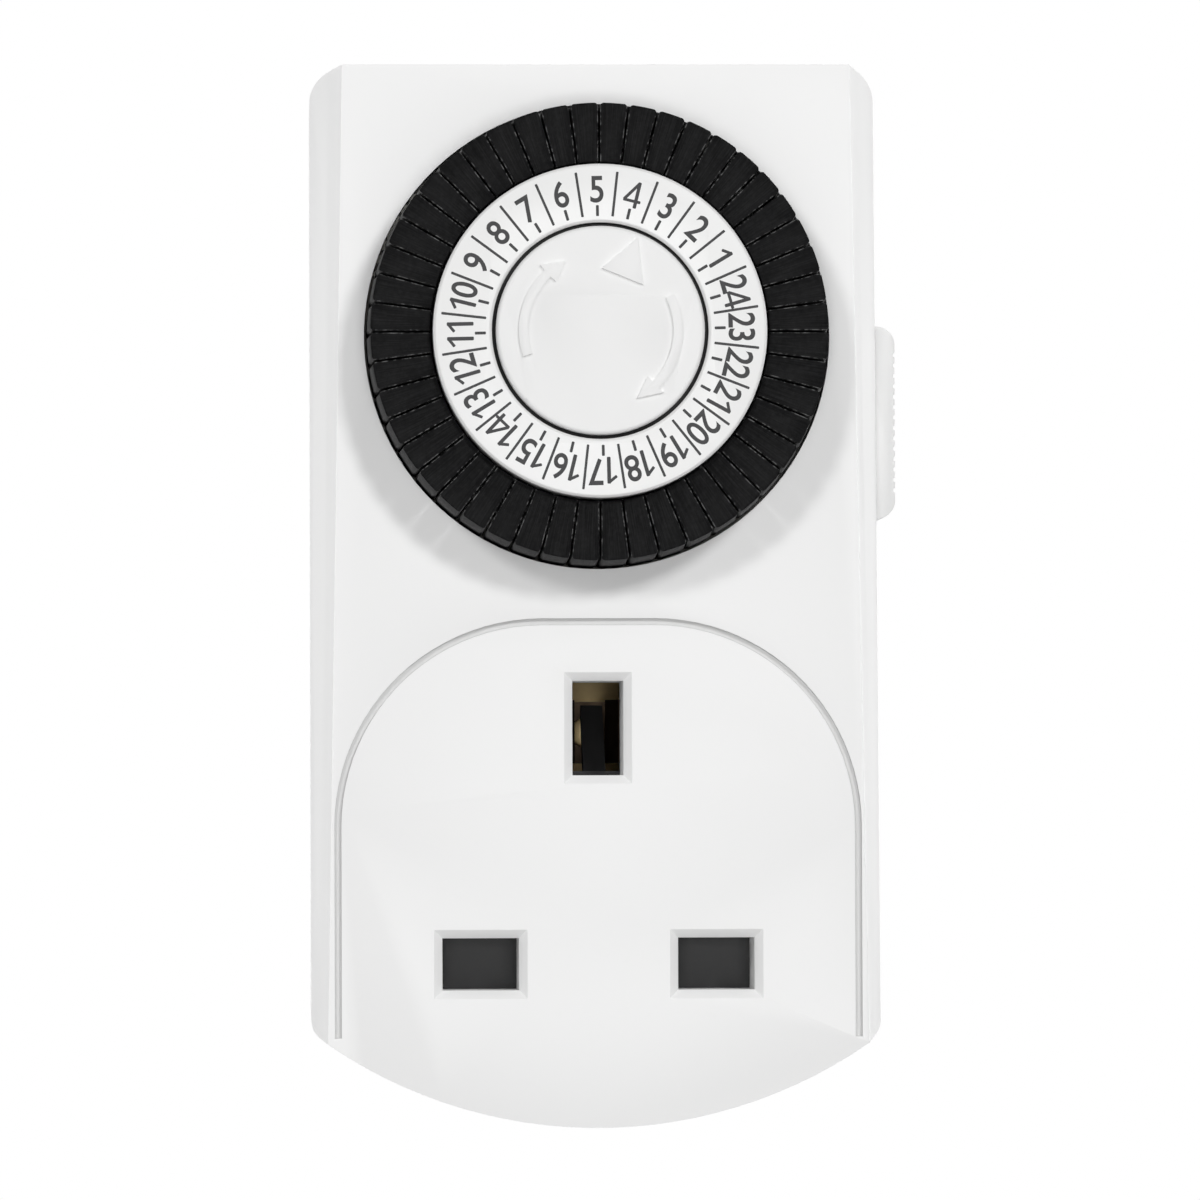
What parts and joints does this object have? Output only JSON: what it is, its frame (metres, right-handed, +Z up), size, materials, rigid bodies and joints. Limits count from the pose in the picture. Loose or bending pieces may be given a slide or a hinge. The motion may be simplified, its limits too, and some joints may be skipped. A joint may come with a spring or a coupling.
{
  "type": "plug-in timer switch",
  "caption": "Plug-in day timer: flat-pin plug behind, switched and shuttered socket outlet in front, dial with push-in segments, side override slide.",
  "frame": {"origin": "on the plug face, midway between the earth pin and the row of line and neutral pins", "axes": "+X right seen from the front, +Y out of the plug face towards the wall, +Z up; the front faces -Y"},
  "size_m": [0.0561, 0.0686, 0.1002],
  "materials": {
    "white_plastic": "satin moulded white",
    "dial_white": "smooth moulded white",
    "black_plastic": "semi-gloss black",
    "sleeve_black": "matte black",
    "plug_brass": "drawn brass",
    "spring_bronze": "rolled phosphor bronze",
    "steel": "zinc plated",
    "motor_steel": "galvanised sheet",
    "coil_copper": "enamelled copper winding",
    "carrier_plastic": "matte grey",
    "gear_plastic": "natural acetal",
    "shutter_plastic": "matte grey",
    "lead_insulation": "smooth insulation"
  },
  "bodies": {
    "housing": {"front_cover": "white_plastic", "rear_cover": "white_plastic", "housing_screws": "steel", "line_pin": "plug_brass", "neutral_pin": "plug_brass", "earth_pin": "plug_brass", "pin_sleeves": "sleeve_black", "neutral_socket": "spring_bronze", "line_socket": "spring_bronze", "earth_socket": "spring_bronze", "contact_carrier": "carrier_plastic", "shutter_spring": "steel", "dial_post": "steel", "gear_plate": "carrier_plastic", "plate_screws": "steel", "centre_cap": "white_plastic", "reduction_axle": "steel", "motor_can": "motor_steel", "motor_cover": "motor_steel", "motor_coil": "coil_copper", "switch_base": "carrier_plastic", "line_feed_bar": "plug_brass", "line_outlet_bar": "plug_brass", "motor_leads": "lead_insulation", "follower_pin": "steel"},
    "dial": {"dial_disc": "dial_white", "tappet_carrier": "black_plastic"},
    "segments_01": {"tappets_hour_01": "black_plastic"},
    "segments_02": {"tappets_hour_02": "black_plastic"},
    "segments_03": {"tappets_hour_03": "black_plastic"},
    "segments_04": {"tappets_hour_04": "black_plastic"},
    "segments_05": {"tappets_hour_05": "black_plastic"},
    "segments_06": {"tappets_hour_06": "black_plastic"},
    "segments_07": {"tappets_hour_07": "black_plastic"},
    "segments_08": {"tappets_hour_08": "black_plastic"},
    "segments_09": {"tappets_hour_09": "black_plastic"},
    "segments_10": {"tappets_hour_10": "black_plastic"},
    "segments_11": {"tappets_hour_11": "black_plastic"},
    "segments_12": {"tappets_hour_12": "black_plastic"},
    "segments_13": {"tappets_hour_13": "black_plastic"},
    "segments_14": {"tappets_hour_14": "black_plastic"},
    "segments_15": {"tappets_hour_15": "black_plastic"},
    "segments_16": {"tappets_hour_16": "black_plastic"},
    "segments_17": {"tappets_hour_17": "black_plastic"},
    "segments_18": {"tappets_hour_18": "black_plastic"},
    "segments_19": {"tappets_hour_19": "black_plastic"},
    "segments_20": {"tappets_hour_20": "black_plastic"},
    "segments_21": {"tappets_hour_21": "black_plastic"},
    "segments_22": {"tappets_hour_22": "black_plastic"},
    "segments_23": {"tappets_hour_23": "black_plastic"},
    "segments_24": {"tappets_hour_24": "black_plastic"},
    "reduction": {"reduction_gear": "gear_plastic"},
    "motor_output": {"motor_pinion": "gear_plastic"},
    "override": {"override_slider": "white_plastic", "override_bridge": "spring_bronze"},
    "follower": {"follower_lever": "gear_plastic", "follower_spring": "steel"},
    "switch_arm": {"contact_arm": "spring_bronze"},
    "safety_shutter": {"shutter": "shutter_plastic"}
  },
  "joints": [
    {"name": "dial_spin", "type": "hinge", "parent": "housing", "child": "dial", "pos_m": [0, -0.036, 0.048], "axis": [0, 1, 0], "continuous": true},
    {"name": "reduction_spin", "type": "hinge", "parent": "housing", "child": "reduction", "pos_m": [-0.01169, -0.0279, 0.05475], "axis": [0, 1, 0], "continuous": true},
    {"name": "motor_spin", "type": "hinge", "parent": "housing", "child": "motor_output", "pos_m": [-0.00769, -0.0279, 0.04376], "axis": [0, 1, 0], "continuous": true},
    {"name": "segments_01_push", "type": "slide", "parent": "dial", "child": "segments_01", "axis": [0, 1, 0], "range_m": [0, 0.0022]},
    {"name": "segments_02_push", "type": "slide", "parent": "dial", "child": "segments_02", "axis": [0, 1, 0], "range_m": [0, 0.0022]},
    {"name": "segments_03_push", "type": "slide", "parent": "dial", "child": "segments_03", "axis": [0, 1, 0], "range_m": [0, 0.0022]},
    {"name": "segments_04_push", "type": "slide", "parent": "dial", "child": "segments_04", "axis": [0, 1, 0], "range_m": [0, 0.0022]},
    {"name": "segments_05_push", "type": "slide", "parent": "dial", "child": "segments_05", "axis": [0, 1, 0], "range_m": [0, 0.0022]},
    {"name": "segments_06_push", "type": "slide", "parent": "dial", "child": "segments_06", "axis": [0, 1, 0], "range_m": [0, 0.0022]},
    {"name": "segments_07_push", "type": "slide", "parent": "dial", "child": "segments_07", "axis": [0, 1, 0], "range_m": [0, 0.0022]},
    {"name": "segments_08_push", "type": "slide", "parent": "dial", "child": "segments_08", "axis": [0, 1, 0], "range_m": [0, 0.0022]},
    {"name": "segments_09_push", "type": "slide", "parent": "dial", "child": "segments_09", "axis": [0, 1, 0], "range_m": [0, 0.0022]},
    {"name": "segments_10_push", "type": "slide", "parent": "dial", "child": "segments_10", "axis": [0, 1, 0], "range_m": [0, 0.0022]},
    {"name": "segments_11_push", "type": "slide", "parent": "dial", "child": "segments_11", "axis": [0, 1, 0], "range_m": [0, 0.0022]},
    {"name": "segments_12_push", "type": "slide", "parent": "dial", "child": "segments_12", "axis": [0, 1, 0], "range_m": [0, 0.0022]},
    {"name": "segments_13_push", "type": "slide", "parent": "dial", "child": "segments_13", "axis": [0, 1, 0], "range_m": [0, 0.0022]},
    {"name": "segments_14_push", "type": "slide", "parent": "dial", "child": "segments_14", "axis": [0, 1, 0], "range_m": [0, 0.0022]},
    {"name": "segments_15_push", "type": "slide", "parent": "dial", "child": "segments_15", "axis": [0, 1, 0], "range_m": [0, 0.0022]},
    {"name": "segments_16_push", "type": "slide", "parent": "dial", "child": "segments_16", "axis": [0, 1, 0], "range_m": [0, 0.0022]},
    {"name": "segments_17_push", "type": "slide", "parent": "dial", "child": "segments_17", "axis": [0, 1, 0], "range_m": [0, 0.0022]},
    {"name": "segments_18_push", "type": "slide", "parent": "dial", "child": "segments_18", "axis": [0, 1, 0], "range_m": [0, 0.0022]},
    {"name": "segments_19_push", "type": "slide", "parent": "dial", "child": "segments_19", "axis": [0, 1, 0], "range_m": [0, 0.0022]},
    {"name": "segments_20_push", "type": "slide", "parent": "dial", "child": "segments_20", "axis": [0, 1, 0], "range_m": [0, 0.0022]},
    {"name": "segments_21_push", "type": "slide", "parent": "dial", "child": "segments_21", "axis": [0, 1, 0], "range_m": [0, 0.0022]},
    {"name": "segments_22_push", "type": "slide", "parent": "dial", "child": "segments_22", "axis": [0, 1, 0], "range_m": [0, 0.0022]},
    {"name": "segments_23_push", "type": "slide", "parent": "dial", "child": "segments_23", "axis": [0, 1, 0], "range_m": [0, 0.0022]},
    {"name": "segments_24_push", "type": "slide", "parent": "dial", "child": "segments_24", "axis": [0, 1, 0], "range_m": [0, 0.0022]},
    {"name": "override_slide", "type": "slide", "parent": "housing", "child": "override", "axis": [0, 0, 1], "range_m": [0, 0.004]},
    {"name": "follower_tilt", "type": "hinge", "parent": "housing", "child": "follower", "pos_m": [0.016, -0.0225, 0.0295], "axis": [-1, 0, 0], "range_deg": [0, 13], "stiffness_Nm_per_rad": 0.001, "springref_deg": -11.46},
    {"name": "contact_tilt", "type": "hinge", "parent": "housing", "child": "switch_arm", "pos_m": [0.0122, -0.015, 0.029], "axis": [-1, 0, 0], "range_deg": [0, 5.9]},
    {"name": "shutter_slide", "type": "slide", "parent": "housing", "child": "safety_shutter", "axis": [0, 0, -1], "range_m": [0, 0.0064], "stiffness_N_per_m": 100, "springref_m": -0.003, "deforming": ["shutter_spring"]}
  ],
  "couplings": [
    {"joint": "reduction_spin", "follows": "dial_spin", "ratio": -4},
    {"joint": "motor_spin", "follows": "dial_spin", "ratio": 13.333},
    {"joint": "contact_tilt", "follows": "follower_tilt", "ratio": 0.45}
  ]
}
